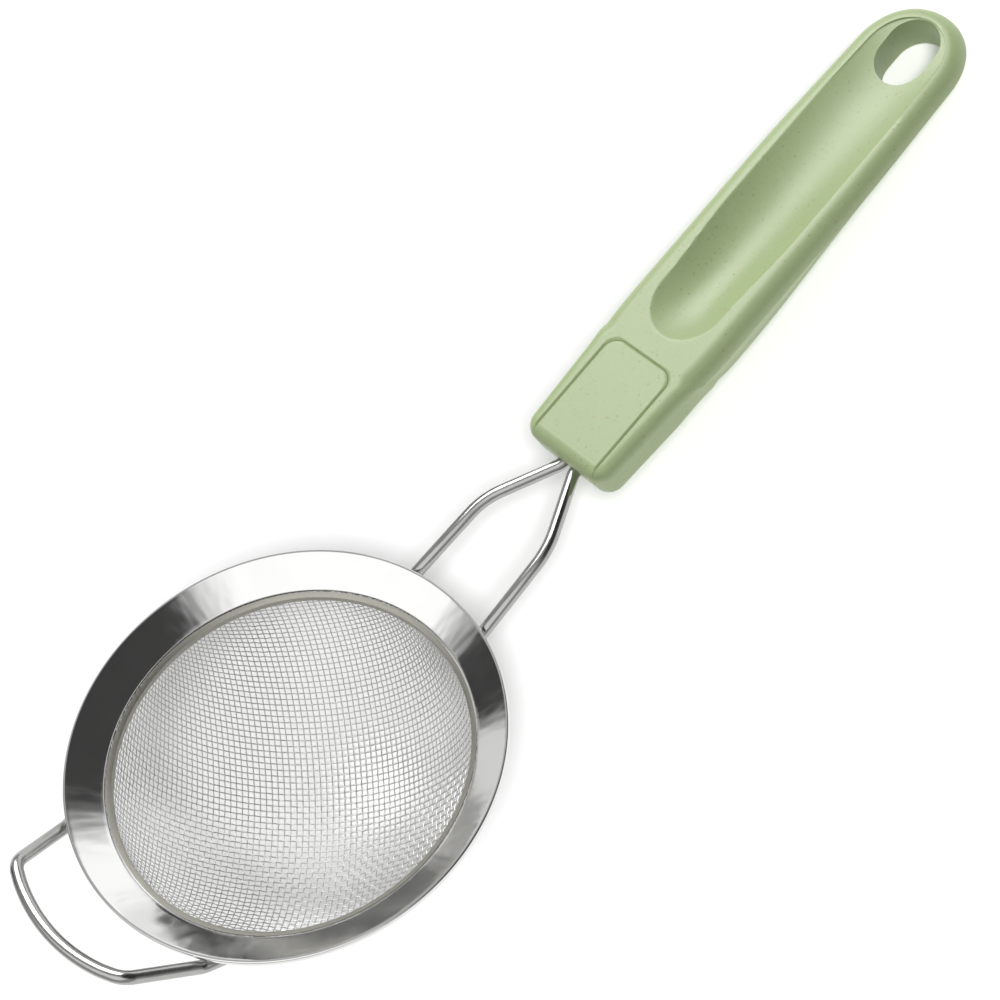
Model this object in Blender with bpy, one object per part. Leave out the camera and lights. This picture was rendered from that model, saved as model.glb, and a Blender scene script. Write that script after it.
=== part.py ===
"""A hand strainer: steel rim with a woven-wire bowl, a sprung wire rest in front, and a plastic handle.

Everything is modelled in the strainer's own frame, in metres: the rim lies in the XY plane with its
centre at the origin, the handle runs along +X, and the bowl hangs down along -Z. At the end the whole
strainer is tilted about Y until the bowl and the handle's end both stand on the floor, Z = 0.
"""

import math

import bmesh
import bpy
import numpy as np

MM = 0.001
GAP = 0.3 * MM

# Rim: a pressed flange whose outer edge is rolled into a round bead.
RIM_RADIUS = 50 * MM
BEAD_RADIUS = 1.2 * MM
BEAD_CENTRE = RIM_RADIUS - BEAD_RADIUS
SHEET = 0.5 * MM
BAND_TOP = (47.7 * MM, -0.45 * MM)
BAND_FOOT = (42.1 * MM, -4.2 * MM)
SKIRT_FOOT = -7.2 * MM

# The ring that caps the edge of the woven wire.
CLAMP_OUTER = (41.75 * MM, -4.35 * MM)
CLAMP_INNER = (40.8 * MM, -5.15 * MM)
CLAMP_SHEET = 0.35 * MM

# Bowl: a hemisphere of woven wire, with a short straight wall under the clamp ring.
BOWL_RADIUS = 41.3 * MM
BOWL_DEPTH = 41.7 * MM
BOWL_CENTRE_Z = -7.0 * MM
BOWL_EDGE_Z = -5.55 * MM
BOWL_WALL = 0.5 * MM

# Wires of the handle and of the rest.
WIRE_RADIUS = 1.5 * MM
WELD_Z = -BEAD_RADIUS - WIRE_RADIUS - GAP
HANDLE_WELD_RUN = 1.5 * MM
REST_WELD_RUN = 2.7 * MM
REST_WELD_DIP = 0.6 * MM
REST_ELBOW_RADIUS = 4 * MM
HANDLE_WIRE_WELD_Y = 11.7 * MM
HANDLE_WIRE_BEND = (71.5 * MM, 10.7 * MM, 2.9 * MM)
HANDLE_WIRE_BEND_RADIUS = 20 * MM
HANDLE_WIRE_PINCH = 1.95 * MM
REST_WELD_ANGLE = math.radians(31.3)
REST_CORNER = (-58.0 * MM, 19.4 * MM, 7.5 * MM)
REST_FRONT = (-62.5 * MM, 7.4 * MM)
REST_BEND_RADIUS = 6.5 * MM

# Handle, in its own frame: S runs from the head end to the tip, V is sideways, W is up from the top face.
HANDLE_PITCH = math.radians(12.94)
HANDLE_HEAD = (87.6 * MM, 12.32 * MM)
HANDLE_LENGTH = 133.6 * MM
TIP_LENGTH = 14.7 * MM
HEAD_CORNER = 4 * MM
HEAD_WIDTH = 12.75 * MM
NECK_FLARE = 0.05
GRIP_WIDTH = 15 * MM
TIP_WIDTH = 13.5 * MM
NECK_DEPTH = 10.8 * MM
GRIP_DEPTH = 14.3 * MM
TIP_DEPTH = 10.9 * MM
CREASE_START = 28.5 * MM
CREASE_LEAN = 0.95
CREASE_DEPTH = 7.2 * MM
CREASE_SOFTNESS = 3 * MM
WIRE_DROP = 7.2 * MM

# Thumb scoop and hang hole in the top of the handle.
SCOOP_START = 35.3 * MM
SCOOP_END = 131 * MM
SCOOP_NOSE = 10.5 * MM
SCOOP_HALF = 10.3 * MM
SCOOP_DEPTH = 4.6 * MM
HOLE_CENTRE = 121 * MM
HOLE_HALF_LENGTH = 8.35 * MM
HOLE_HALF_WIDTH = 6.5 * MM

# Insert that carries the wire, pushed into the head end of the handle.
INSERT_LENGTH = 29.2 * MM
INSERT_HALF = 9.6 * MM
INSERT_DEPTH = 9.4 * MM
INSERT_CORNER = 3.6 * MM
ANCHOR_RUN = 8 * MM
ANCHOR_FLARE = 14 * MM
ANCHOR_RADIUS = 4.6 * MM

RING_SEGMENTS = 72
BOWL_SEGMENTS = 60
WIRE_SIDES = 14
GRIP_STATIONS = 56
TIP_STATIONS = 12
HEAD_STATIONS = 5
ACROSS = 20

STEEL = ((0.62, 0.62, 0.60, 1), 1.0, 0.18)
SATIN_STEEL = ((0.42, 0.41, 0.37, 1), 1.0, 0.45)
GREEN_PLASTIC = ((0.53, 0.64, 0.40, 1), 0.0, 0.5)


def clear_scene():
    for old in list(bpy.data.objects):
        bpy.data.objects.remove(old, do_unlink=True)


def material(name, look):
    colour, metallic, roughness = look
    made = bpy.data.materials.new(name)
    made.use_nodes = True
    shader = made.node_tree.nodes["Principled BSDF"]
    shader.inputs["Base Color"].default_value = colour
    shader.inputs["Metallic"].default_value = metallic
    shader.inputs["Roughness"].default_value = roughness
    return made


def empty(name, location, rotation, parent=None):
    made = bpy.data.objects.new(name, None)
    bpy.context.scene.collection.objects.link(made)
    made.location = location
    made.rotation_euler = rotation
    made.parent = parent
    return made


def place(made, look, parent):
    """Links an object into the scene with its material, under its parent."""
    bpy.context.scene.collection.objects.link(made)
    made.data.materials.append(look)
    made.parent = parent
    return made


def mesh_object(name, vertices, faces, look, parent):
    data = bpy.data.meshes.new(name)
    data.from_pydata([tuple(float(c) for c in v) for v in vertices], [], faces)
    made = place(bpy.data.objects.new(name, data), look, parent)
    shell = bmesh.new()
    shell.from_mesh(data)
    bmesh.ops.recalc_face_normals(shell, faces=shell.faces)
    shell.to_mesh(data)
    shell.free()
    data.shade_smooth()
    data.set_sharp_from_angle(angle=math.radians(40))
    return made


def turned(name, profile, segments, look, parent):
    """A closed profile of (radius, height) points, turned once round the Z axis."""
    count = len(profile)
    vertices = []
    for step in range(segments):
        angle = 2 * math.pi * step / segments
        vertices += [(r * math.cos(angle), r * math.sin(angle), z) for r, z in profile]
    faces = []
    for step in range(segments):
        here = step * count
        there = (step + 1) % segments * count
        for i in range(count):
            j = (i + 1) % count
            faces.append((here + i, here + j, there + j, there + i))
    return mesh_object(name, vertices, faces, look, parent)


def arc(centre, radius, start, end, steps):
    """Points on a circle from one angle to another, both in degrees."""
    angles = np.radians(np.linspace(start, end, steps + 1))
    return [(centre[0] + radius * math.cos(a), centre[1] + radius * math.sin(a)) for a in angles]


def rounded_path(corners, radii, steps=8):
    """A path through 3-D corners, each rounded with its own radius."""
    corners = [np.array(c, float) for c in corners]
    path = [corners[0]]
    for i in range(1, len(corners) - 1):
        corner = corners[i]
        back = corners[i - 1] - corner
        ahead = corners[i + 1] - corner
        back_length = np.linalg.norm(back)
        ahead_length = np.linalg.norm(ahead)
        back /= back_length
        ahead /= ahead_length
        turn = math.acos(float(np.clip(back @ ahead, -1, 1)))
        reach = min(radii[i] / math.tan(turn / 2), 0.48 * back_length, 0.48 * ahead_length)
        radius = reach * math.tan(turn / 2)
        middle = (back + ahead) / np.linalg.norm(back + ahead)
        centre = corner + middle * math.hypot(radius, reach)
        first = corner + back * reach - centre
        last = corner + ahead * reach - centre
        sweep = math.acos(float(np.clip(first @ last / radius**2, -1, 1)))
        for k in range(steps + 1):
            share = k / steps
            blend = first * math.sin((1 - share) * sweep) + last * math.sin(share * sweep)
            path.append(centre + blend / math.sin(sweep))
    path.append(corners[-1])
    return path


def wire(name, path, radius, look, parent):
    """A round wire with flat ends along a path; each ring of vertices stands square to the path."""
    path = [np.array(p, float) for p in path]
    count = len(path)
    side = None
    vertices = []
    for i in range(count):
        forward = path[min(i + 1, count - 1)] - path[max(i - 1, 0)]
        forward /= np.linalg.norm(forward)
        if side is None:
            side = np.cross(forward, (0, 0, 1))
        side = side - forward * (side @ forward)
        side /= np.linalg.norm(side)
        other = np.cross(forward, side)
        for k in range(WIRE_SIDES):
            angle = 2 * math.pi * k / WIRE_SIDES
            vertices.append(path[i] + radius * (side * math.cos(angle) + other * math.sin(angle)))
    faces = [tuple(range(WIRE_SIDES)), tuple(range(len(vertices) - WIRE_SIDES, len(vertices)))]
    for i in range(count - 1):
        here = i * WIRE_SIDES
        there = here + WIRE_SIDES
        for k in range(WIRE_SIDES):
            j = (k + 1) % WIRE_SIDES
            faces.append((here + k, here + j, there + j, there + k))
    return mesh_object(name, vertices, faces, look, parent)


def smooth_step(value):
    value = np.clip(value, 0, 1)
    return value * value * (3 - 2 * value)


def mirrored(path):
    """A half path on the +Y side followed back along its mirror image on the -Y side."""
    other = [np.array([p[0], -p[1], p[2]]) for p in reversed(path)]
    return list(path) + other


# Handle surface ------------------------------------------------------------------------------------


def grip_share(s, depth):
    """0 on the square neck, 1 on the rounded grip; the crease between them leans back as it goes down."""
    line = CREASE_START + CREASE_LEAN * np.minimum(depth, CREASE_DEPTH)
    return smooth_step((s - line) / CREASE_SOFTNESS + 0.5)


def half_width(s):
    """Half the width of the handle at its widest, before the corners at both ends are rounded."""
    neck = HEAD_WIDTH + NECK_FLARE * s
    to_tip = smooth_step((s - 80 * MM) / (HANDLE_LENGTH - 80 * MM))
    grip = GRIP_WIDTH + (TIP_WIDTH - GRIP_WIDTH) * to_tip
    share = smooth_step((s - 23 * MM) / (18 * MM))
    return neck * (1 - share) + grip * share


def depth_at(s):
    """Depth of the handle from its top face to its flat underside."""
    swell = smooth_step((s - 24 * MM) / (18 * MM))
    taper = smooth_step((s - 46 * MM) / (50 * MM))
    return NECK_DEPTH + (GRIP_DEPTH - NECK_DEPTH) * swell + (TIP_DEPTH - GRIP_DEPTH) * taper


def plan_scale(s):
    """How far the ends close in: 1 along the sides, falling to 0 at the rounded tip."""
    past = max(0.0, (s - (HANDLE_LENGTH - TIP_LENGTH)) / TIP_LENGTH)
    return max(0.0, 1 - past**2.1) ** (1 / 2.1)


def head_inset(s):
    """How far the rounded corners of the head end cut into the width."""
    if s >= HEAD_CORNER:
        return 0.0
    return HEAD_CORNER - math.sqrt(HEAD_CORNER**2 - (HEAD_CORNER - s) ** 2)


def scoop_drop(s, v):
    """Depth of the thumb scoop below the top face: a trough with a round nose that runs out at the hole."""
    nose_centre = SCOOP_START + SCOOP_NOSE
    width = SCOOP_HALF * (0.88 + 0.12 * smooth_step((s - nose_centre) / (25 * MM)))
    along = min(0.0, (s - nose_centre) / SCOOP_NOSE)
    past = max(0.0, (s - 104 * MM) / (SCOOP_END - 104 * MM))
    reach = math.sqrt(along**2 + (v / width) ** 2)
    if reach >= 1 or past >= 1:
        return 0.0
    deep = SCOOP_DEPTH * (1 - 0.45 * smooth_step((s - 62 * MM) / (45 * MM))) * (1 - past**2)
    return deep * (1 - reach**2.3)


def wall_level(depth, top_round, low_round, slant):
    """Inset and drop of each level of a side wall, from the top face down to the underside."""
    levels = []
    for angle in np.radians(np.linspace(0, 90, 5)):
        levels.append((top_round * (1 - math.sin(angle)), top_round * (1 - math.cos(angle))))
    wall_foot = depth - low_round
    for share in (0.35, 0.7):
        levels.append((slant * share, top_round + (wall_foot - top_round) * share))
    for angle in np.radians(np.linspace(0, 90, 6)):
        levels.append((slant + low_round * (1 - math.cos(angle)), wall_foot + low_round * math.sin(angle)))
    return np.array(levels)


def level_profile(s):
    """The side wall at a station: square on the neck, sloping and rounded on the grip."""
    depth = depth_at(s)
    blend = smooth_step((s - 22 * MM) / (14 * MM))
    neck = wall_level(depth, 2.8 * MM, (2.6 + 2.0 * blend) * MM, (0.2 + 0.9 * blend) * MM)
    grip = wall_level(depth, 2.5 * MM, 5.0 * MM, 1.8 * MM)
    share = grip_share(s, neck[:, 1])[:, None]
    return neck * (1 - share) + grip * share


def stations():
    head = [HEAD_CORNER * (1 - math.cos(math.pi / 2 * k / HEAD_STATIONS)) for k in range(HEAD_STATIONS)]
    tip_start = HANDLE_LENGTH - TIP_LENGTH
    grip = list(np.linspace(HEAD_CORNER, tip_start, GRIP_STATIONS + 1))[:-1]
    tip = [tip_start + TIP_LENGTH * math.sin(math.pi / 2 * k / TIP_STATIONS) for k in range(TIP_STATIONS + 1)]
    return head + grip + tip


def side_reach(s):
    """Half width at a station, with both ends closed in."""
    return (half_width(s) - head_inset(s)) * plan_scale(s)


def handle_rings():
    """One closed ring of (S, V, W) points per level, and the number of points on one side."""
    places = stations()
    last = len(places) - 1
    levels = len(level_profile(0))
    profiles = [level_profile(s) for s in places]
    rings = []
    for level in range(levels):
        right = []
        for k, s in enumerate(places):
            inset, drop = profiles[k][level]
            before = places[max(k - 1, 0)]
            after = places[min(k + 1, last)]
            run = after - before
            rise = side_reach(after) - side_reach(before)
            length = math.hypot(run, rise)
            normal = (-rise / length, run / length)
            if k == last:
                normal = (1.0, 0.0)
            if k == 0:
                normal = (-1.0, 0.0)
            right.append((s - normal[0] * inset, -side_reach(s) + normal[1] * inset, -drop))
        left = [(s, -v, w) for s, v, w in right[:-1]]
        start = right[0]
        end_row = [(start[0], start[1] * (1 - 2 * m / ACROSS), start[2]) for m in range(ACROSS - 1, 0, -1)]
        rings.append(right + left[::-1] + end_row)
    return rings, last


def handle_blank():
    """The handle without its hole and its insert: side wall, scooped top face and flat underside."""
    rings, last = handle_rings()
    count = len(rings[0])
    vertices = [p for ring in rings for p in ring]
    faces = []
    for level in range(len(rings) - 1):
        for i in range(count):
            j = (i + 1) % count
            here = level * count
            there = here + count
            faces.append((here + i, here + j, there + j, there + i))
    for level, scooped in ((0, True), (len(rings) - 1, False)):
        base = level * count
        rows = []
        for k in range(last):
            right = base + k
            left = base + 2 * last - k
            row = [right]
            for m in range(1, ACROSS):
                if k == 0:
                    row.append(base + count - m)
                    continue
                share = m / ACROSS
                a = np.array(vertices[right])
                b = np.array(vertices[left])
                point = a + (b - a) * share
                if scooped:
                    point[2] -= scoop_drop(point[0], point[1])
                row.append(len(vertices))
                vertices.append(tuple(point))
            rows.append(row + [left])
        for near, far in zip(rows, rows[1:]):
            for m in range(ACROSS):
                faces.append((near[m], far[m], far[m + 1], near[m + 1]))
        tip = base + last
        for m in range(ACROSS):
            faces.append((rows[-1][m], tip, rows[-1][m + 1]))
    return vertices, faces


def prism(name, outline, low, high, look, parent):
    """An upright prism on a plan outline, used as a cutter."""
    count = len(outline)
    vertices = [(x, y, low) for x, y in outline] + [(x, y, high) for x, y in outline]
    faces = [tuple(range(count - 1, -1, -1)), tuple(range(count, 2 * count))]
    for i in range(count):
        j = (i + 1) % count
        faces.append((i, j, count + j, count + i))
    return mesh_object(name, vertices, faces, look, parent)


def socket_outline(length, half):
    """A plan outline open at the head end, with its two far corners rounded."""
    corner = INSERT_CORNER
    ahead = length - corner
    side = half - corner
    start = -3 * MM
    points = [(start, -half)] + arc((ahead, -side), corner, -90, 0, 6)
    return points + arc((ahead, side), corner, 0, 90, 6) + [(start, half)]


def obround(centre, half_length, end_radius):
    """A plan outline with two straight sides and two half-round ends."""
    run = half_length - end_radius
    points = arc((centre + run, 0), end_radius, -90, 90, 12)
    return points + arc((centre - run, 0), end_radius, 90, 270, 12)


def cut(target, cutter, operation):
    cutter.hide_render = True
    cutter.display_type = "WIRE"
    modifier = target.modifiers.new(cutter.name, "BOOLEAN")
    modifier.operation = operation
    modifier.solver = "EXACT"
    modifier.object = cutter


# Pieces --------------------------------------------------------------------------------------------


def make_rim(look, parent):
    slope = math.atan2(BAND_TOP[1] - BAND_FOOT[1], BAND_TOP[0] - BAND_FOOT[0])
    under = (SHEET * math.sin(slope), -SHEET * math.cos(slope))
    bead = arc((BEAD_CENTRE, 0), BEAD_RADIUS, -125, 200, 18)
    fold = arc((BAND_FOOT[0] + SHEET, BAND_FOOT[1] - SHEET), SHEET, 150, 180, 2)
    band = [BAND_TOP] + fold
    skirt = [(BAND_FOOT[0], SKIRT_FOOT), (BAND_FOOT[0] + SHEET, SKIRT_FOOT)]
    back = [
        (BAND_FOOT[0] + SHEET, BAND_FOOT[1] - SHEET),
        (BAND_TOP[0] + under[0], BAND_TOP[1] + under[1]),
    ]
    return turned("rim_flange", bead + band + skirt + back, RING_SEGMENTS, look, parent)


def make_clamp_ring(look, parent):
    lip = (CLAMP_INNER[0] + CLAMP_SHEET * 0.5, CLAMP_INNER[1] - CLAMP_SHEET)
    profile = [
        CLAMP_OUTER,
        (CLAMP_INNER[0] + 0.25 * MM, CLAMP_INNER[1] + 0.32 * MM),
        CLAMP_INNER,
        lip,
        (CLAMP_OUTER[0], CLAMP_OUTER[1] - CLAMP_SHEET * 1.4),
    ]
    return turned("mesh_clamp_ring", profile, RING_SEGMENTS, look, parent)


def bowl_profile(offset):
    """Half profile of the bowl at a distance from its middle surface, from the edge to the pole."""
    radius = BOWL_RADIUS + offset
    depth = BOWL_DEPTH - (BOWL_EDGE_Z - BOWL_CENTRE_Z) + offset
    points = [(radius, BOWL_EDGE_Z)]
    for angle in np.radians(np.linspace(0, 90, 13)):
        points.append((radius * math.cos(angle), BOWL_CENTRE_Z - depth * math.sin(angle)))
    return points


def make_bowl(look, parent):
    """A thin shell with one shared pole on each side, standing for the woven wire."""
    inner = bowl_profile(-BOWL_WALL / 2)
    outer = bowl_profile(BOWL_WALL / 2)
    open_profile = inner[-2::-1] + outer[:-1]
    count = len(open_profile)
    vertices = []
    for step in range(BOWL_SEGMENTS):
        angle = 2 * math.pi * step / BOWL_SEGMENTS
        vertices += [(r * math.cos(angle), r * math.sin(angle), z) for r, z in open_profile]
    inner_pole = len(vertices)
    vertices += [(0, 0, inner[-1][1]), (0, 0, outer[-1][1])]
    faces = []
    for step in range(BOWL_SEGMENTS):
        here = step * count
        there = (step + 1) % BOWL_SEGMENTS * count
        for i in range(count - 1):
            faces.append((here + i, here + i + 1, there + i + 1, there + i))
        faces.append((inner_pole, here, there))
        faces.append((inner_pole + 1, there + count - 1, here + count - 1))
    return mesh_object("mesh_bowl", vertices, faces, look, parent)


def handle_point(s, v, w):
    """A point of the handle's frame in the strainer's frame."""
    c = math.cos(HANDLE_PITCH)
    d = math.sin(HANDLE_PITCH)
    return np.array([HANDLE_HEAD[0] + s * c - w * d, v, HANDLE_HEAD[1] + s * d + w * c])


def handle_wire_path():
    """From the weld under the rim, through its bend, into the insert and round the buried anchor."""
    weld = np.array([math.sqrt(BEAD_CENTRE**2 - HANDLE_WIRE_WELD_Y**2), HANDLE_WIRE_WELD_Y, WELD_Z])
    bend = np.array(HANDLE_WIRE_BEND)
    inward = (weld - bend) / np.linalg.norm(weld - bend)
    start = weld + inward * HANDLE_WELD_RUN
    mouth = handle_point(-0.6 * MM, HANDLE_WIRE_PINCH, -WIRE_DROP)
    parallel = handle_point(ANCHOR_RUN, HANDLE_WIRE_PINCH, -WIRE_DROP)
    flare = handle_point(ANCHOR_FLARE, ANCHOR_RADIUS, -WIRE_DROP)
    flared = handle_point(ANCHOR_FLARE + 2.5 * MM, ANCHOR_RADIUS, -WIRE_DROP)
    radii = [0, HANDLE_WIRE_BEND_RADIUS, 5 * MM, 4 * MM, 4 * MM, 0]
    half = rounded_path([start, bend, mouth, parallel, flare, flared], radii)
    turn = []
    for k in range(1, 8):
        angle = math.pi / 2 * k / 8
        ahead = ANCHOR_FLARE + 2.5 * MM + ANCHOR_RADIUS * math.sin(angle)
        turn.append(handle_point(ahead, ANCHOR_RADIUS * math.cos(angle), -WIRE_DROP))
    nose = handle_point(ANCHOR_FLARE + 2.5 * MM + ANCHOR_RADIUS, 0, -WIRE_DROP)
    left = half + turn
    right = mirrored(left)[len(left):]
    return left + [nose] + right


def rest_path():
    """From one weld under the rim, up and round the bowed front, and back to the other weld."""
    weld = np.array(
        [-BEAD_CENTRE * math.cos(REST_WELD_ANGLE), BEAD_CENTRE * math.sin(REST_WELD_ANGLE), WELD_Z]
    )
    corner = np.array(REST_CORNER)
    outward = (corner - weld) * np.array([1, 1, 0])
    outward /= np.linalg.norm(outward)
    start = weld - outward * REST_WELD_RUN - np.array([0, 0, REST_WELD_DIP])
    elbow = weld + outward * REST_WELD_RUN
    bow = corner[0] - REST_FRONT[0]
    radius = (corner[1] ** 2 + bow**2) / (2 * bow)
    sweep = math.asin(corner[1] / radius)
    front = []
    for k in range(1, 12):
        share = k / 6 - 1
        height = REST_FRONT[1] + (corner[2] - REST_FRONT[1]) * share**2
        x = REST_FRONT[0] + radius * (1 - math.cos(sweep * share))
        front.append(np.array([x, -radius * math.sin(sweep * share), height]))
    radii = [0, REST_ELBOW_RADIUS, REST_BEND_RADIUS, 0]
    leg = rounded_path([start, elbow, corner, front[0]], radii)[:-1]
    return leg + front + [p * np.array([1, -1, 1]) for p in leg[::-1]]


def make_handle(looks, frame):
    vertices, faces = handle_blank()
    body = mesh_object("handle_body", vertices, faces, looks["handle"], frame)
    insert = mesh_object("neck_insert", vertices, faces, looks["insert"], frame)
    wide = INSERT_HALF + GAP / 2
    recess_outline = socket_outline(INSERT_LENGTH + GAP / 2, wide)
    recess = prism("recess_cutter", recess_outline, -INSERT_DEPTH - GAP, 6 * MM, looks["handle"], frame)
    cut(body, recess, "DIFFERENCE")
    hole_outline = obround(HOLE_CENTRE, HOLE_HALF_LENGTH, HOLE_HALF_WIDTH)
    hole = prism("hole_cutter", hole_outline, -20 * MM, 6 * MM, looks["handle"], frame)
    cut(body, hole, "DIFFERENCE")
    insert_outline = socket_outline(INSERT_LENGTH - GAP / 2, INSERT_HALF - GAP / 2)
    block = prism("insert_cutter", insert_outline, -INSERT_DEPTH, 6 * MM, looks["insert"], frame)
    cut(insert, block, "INTERSECT")
    return body, insert


def world_points(made):
    shape = made.evaluated_get(bpy.context.evaluated_depsgraph_get()).to_mesh()
    return np.array([made.matrix_world @ v.co for v in shape.vertices])


def stand_on_floor(frame, bowl, body, pieces):
    """Tilts the strainer until bowl and handle touch the same floor, then centres it over the origin."""
    bowl_points = world_points(bowl)
    body_points = world_points(body)
    low, high = 0.0, math.radians(45)
    for _ in range(40):
        tilt = (low + high) / 2
        down = np.array([-math.sin(tilt), 0, math.cos(tilt)])
        if (body_points @ down).min() > (bowl_points @ down).min():
            low = tilt
        else:
            high = tilt
    frame.rotation_euler = (0, tilt, 0)
    bpy.context.view_layer.update()
    points = np.concatenate([world_points(piece) for piece in pieces])
    middle = (points.min(axis=0) + points.max(axis=0)) / 2
    frame.location = (-middle[0], -middle[1], -points[:, 2].min())


def build():
    clear_scene()
    looks = {
        "rim": material("rim_steel", STEEL),
        "clamp": material("clamp_steel", SATIN_STEEL),
        "mesh": material("mesh_steel", SATIN_STEEL),
        "wire": material("wire_steel", STEEL),
        "handle": material("handle_plastic", GREEN_PLASTIC),
        "insert": material("insert_plastic", GREEN_PLASTIC),
    }
    frame = empty("strainer_frame", (0, 0, 0), (0, 0, 0))
    handle_frame = empty(
        "handle_frame", (HANDLE_HEAD[0], 0, HANDLE_HEAD[1]), (0, -HANDLE_PITCH, 0), frame
    )
    rim = make_rim(looks["rim"], frame)
    clamp = make_clamp_ring(looks["clamp"], frame)
    bowl = make_bowl(looks["mesh"], frame)
    path = handle_wire_path()
    handle_wire = wire("handle_wire", path, WIRE_RADIUS, looks["wire"], frame)
    rest = wire("rest_loop", rest_path(), WIRE_RADIUS, looks["wire"], frame)
    body, insert = make_handle(looks, handle_frame)
    bore = wire("bore_cutter", path, WIRE_RADIUS + GAP, looks["insert"], frame)
    cut(insert, bore, "DIFFERENCE")
    bpy.context.view_layer.update()
    stand_on_floor(frame, bowl, body, [rim, clamp, bowl, handle_wire, rest, body, insert])


build()
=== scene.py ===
"""Looks of the hand strainer: polished rim, woven-wire bowl, bent wires and a speckled plastic handle.

Pieces are built in the strainer's own frame, in metres: the rim lies in the XY plane round the origin,
the handle runs along +X and the bowl hangs along -Z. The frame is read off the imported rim.
"""

import math

import bmesh
import bpy
import numpy as np
from mathutils import Matrix, Vector


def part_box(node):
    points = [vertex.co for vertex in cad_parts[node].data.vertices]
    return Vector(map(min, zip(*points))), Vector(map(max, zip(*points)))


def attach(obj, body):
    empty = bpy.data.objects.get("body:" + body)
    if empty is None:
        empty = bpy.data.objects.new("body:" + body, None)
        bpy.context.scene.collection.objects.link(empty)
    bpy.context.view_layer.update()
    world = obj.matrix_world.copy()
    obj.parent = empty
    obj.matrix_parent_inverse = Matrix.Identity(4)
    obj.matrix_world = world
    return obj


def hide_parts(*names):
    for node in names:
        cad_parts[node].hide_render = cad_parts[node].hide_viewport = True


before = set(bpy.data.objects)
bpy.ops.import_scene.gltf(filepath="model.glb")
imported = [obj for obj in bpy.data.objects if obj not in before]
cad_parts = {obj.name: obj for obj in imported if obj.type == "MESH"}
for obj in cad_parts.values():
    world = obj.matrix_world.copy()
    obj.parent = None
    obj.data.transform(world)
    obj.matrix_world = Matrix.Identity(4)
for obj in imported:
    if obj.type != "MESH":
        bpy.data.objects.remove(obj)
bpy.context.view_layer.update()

MM = 0.001

# Rim and clamp ring, as (radius, height) in the strainer's frame.
BEAD_RADIUS = 1.2 * MM
BEAD_CENTRE = 48.8 * MM
SHEET = 0.5 * MM
HEM_RADIUS = 0.45 * MM
HEM_HEIGHT = 0.7 * MM
BAND_TOP = (47.75 * MM, -0.42 * MM)
BAND_FOOT = (42.1 * MM, -4.2 * MM)
SKIRT_FOOT = -7.2 * MM
CLAMP_OUTER = (41.8 * MM, -4.4 * MM)
CLAMP_INNER = (40.6 * MM, -5.15 * MM)
CLAMP_SHEET = 0.3 * MM
CLAMP_FOOT = -6.3 * MM
FOLD_RADIUS = 0.45 * MM
FOLD_DROP = 0.25 * MM
LIP_RADIUS = 0.3 * MM
LIP_DROP = 0.02 * MM
CLAMP_BACK_DROPS = (0.2 * MM, 0.42 * MM)

# Bowl of woven wire.
BOWL_RADIUS = 41.3 * MM
BOWL_DROP = 40.25 * MM
BOWL_CENTRE_Z = -7.0 * MM
MESH_EDGE_Z = -5.6 * MM
MESH_PITCH = 1.43 * MM
MESH_WIRE = 0.135 * MM
MESH_CRIMP = 0.15 * MM
MESH_TURN = math.radians(47)
NET_HALF = 52
NET_TOP_Z = 6 * MM

# Handle and rest wires.
WIRE_RADIUS = 1.5 * MM
WIRE_END_ROUND = 0.25
WELD_Z = -3.0 * MM
HANDLE_WELD_RUN = 1.5 * MM
HANDLE_WIRE_WELD_Y = 11.7 * MM
HANDLE_WIRE_BEND = (71.5 * MM, 10.7 * MM, 2.9 * MM)
HANDLE_WIRE_BEND_RADIUS = 20 * MM
HANDLE_WIRE_PINCH = 1.95 * MM
HANDLE_WIRE_BURIED = 8 * MM
MOUTH_BEFORE = 0.6 * MM
MOUTH_BEND_RADIUS = 5 * MM
REST_WELD_ANGLE = math.radians(31.3)
REST_WELD_RUN = 2.7 * MM
REST_WELD_DIP = 0.6 * MM
REST_ELBOW_RADIUS = 4 * MM
REST_CORNER = (-58.0 * MM, 19.4 * MM, 7.5 * MM)
REST_FRONT = (-62.5 * MM, 7.4 * MM)
REST_BEND_RADIUS = 6.5 * MM

# Handle, in its own frame: S from the head end to the tip, V sideways, W up from the top face.
HANDLE_PITCH = math.radians(12.94)
HANDLE_HEAD = (87.6 * MM, 12.32 * MM)
HANDLE_LENGTH = 133.6 * MM
TIP_LENGTH = 14.7 * MM
HEAD_CORNER = 4 * MM
HEAD_WIDTH = 12.75 * MM
NECK_FLARE = 0.05
WIDEN_START = 23 * MM
WIDEN_RUN = 18 * MM
GRIP_WIDTH = 15 * MM
NARROW_START = 80 * MM
TIP_WIDTH = 13.5 * MM
PLAN_POWER = 2.1
NECK_DEPTH = 10.8 * MM
SWELL_START = 24 * MM
SWELL_RUN = 18 * MM
GRIP_DEPTH = 13.7 * MM
TAPER_START = 46 * MM
TAPER_RUN = 50 * MM
TIP_DEPTH = 10.2 * MM
NECK_EASE_START = 22 * MM
NECK_EASE_RUN = 14 * MM
NECK_TOP_ROUND = 2.8 * MM
NECK_LOW_ROUND = 2.6 * MM
NECK_LOW_ROUND_GAIN = 2.0 * MM
NECK_SLANT = 0.2 * MM
NECK_SLANT_GAIN = 0.9 * MM
GRIP_TOP_ROUND = 4.0 * MM
GRIP_LOW_ROUND = 5.0 * MM
GRIP_SLANT = 1.5 * MM
CREASE_START = 28.5 * MM
CREASE_LEAN = 0.95
CREASE_DEPTH = 7.2 * MM
CREASE_SOFTNESS = 3 * MM
WIRE_DROP = 7.2 * MM
SCOOP_START = 35.3 * MM
SCOOP_END = 131 * MM
SCOOP_NOSE = 10.5 * MM
SCOOP_HALF = 10.3 * MM
SCOOP_DEPTH = 4.3 * MM
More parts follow.
